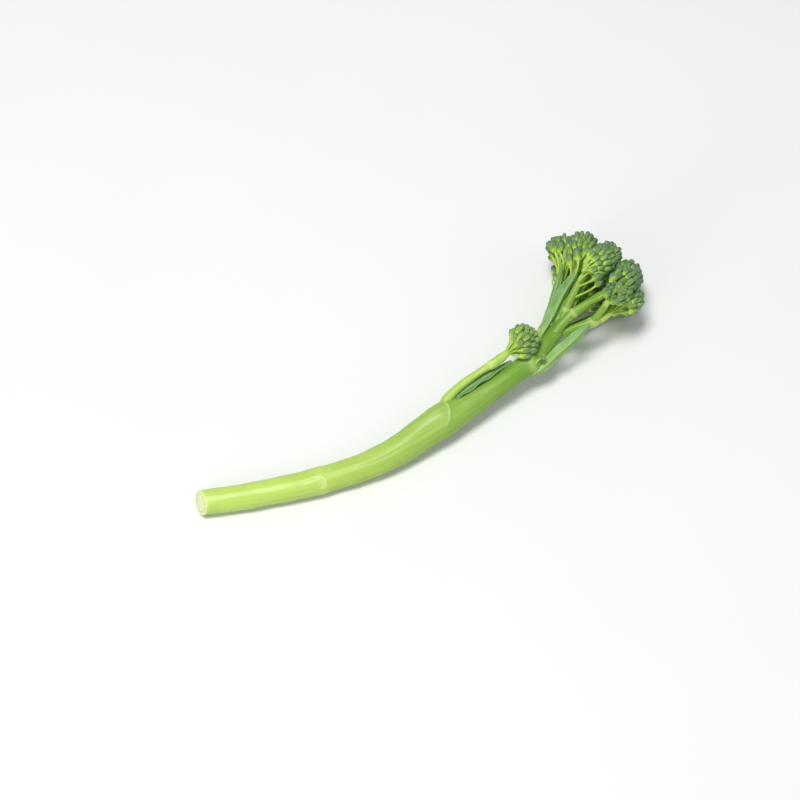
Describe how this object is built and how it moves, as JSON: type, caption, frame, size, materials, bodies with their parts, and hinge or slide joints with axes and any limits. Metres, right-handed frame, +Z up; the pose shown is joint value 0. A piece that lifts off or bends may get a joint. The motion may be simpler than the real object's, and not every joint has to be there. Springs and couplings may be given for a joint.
{
  "type": "broccolini",
  "caption": "Cut broccolini spear lying down: a long bowed stem with an oblique knife cut, a side shoot, small folded leaves and a loose domed crown of florets.",
  "frame": {"origin": "on the surface that the spear lies on, under the middle of its box", "axes": "+X along the spear from the cut foot to the crown, +Z up"},
  "size_m": [0.1923, 0.0532, 0.0358],
  "materials": {
    "stem": "satin",
    "branch": "satin",
    "leaf": "matte",
    "bud": "matte"
  },
  "bodies": {
    "root": {"main_stem": "stem", "side_shoot": "branch", "left_branch": "branch", "upper_left_branch": "branch", "top_branch": "branch", "crest_branch": "branch", "right_branch": "branch", "shoulder_branch": "branch", "side_branch": "branch", "front_branch": "branch", "back_branch": "branch", "far_branch": "branch", "low_front_branch": "branch", "low_middle_branch": "branch", "low_right_branch": "branch", "rear_branch": "branch", "low_left_branch": "branch", "side_leaf": "leaf", "joint_leaf": "leaf", "broad_crown_leaf": "leaf", "narrow_crown_leaf": "leaf", "joint_bud": "bud", "left_floret": "bud", "upper_left_floret": "bud", "top_floret": "bud", "crest_floret": "bud", "right_floret": "bud", "shoulder_floret": "bud", "front_floret": "bud", "side_floret": "bud", "back_floret": "bud", "far_floret": "bud", "low_front_floret": "bud", "low_middle_floret": "bud", "low_right_floret": "bud", "rear_floret": "bud", "low_left_floret": "bud", "shoot_floret": "bud"}
  },
  "joints": []
}
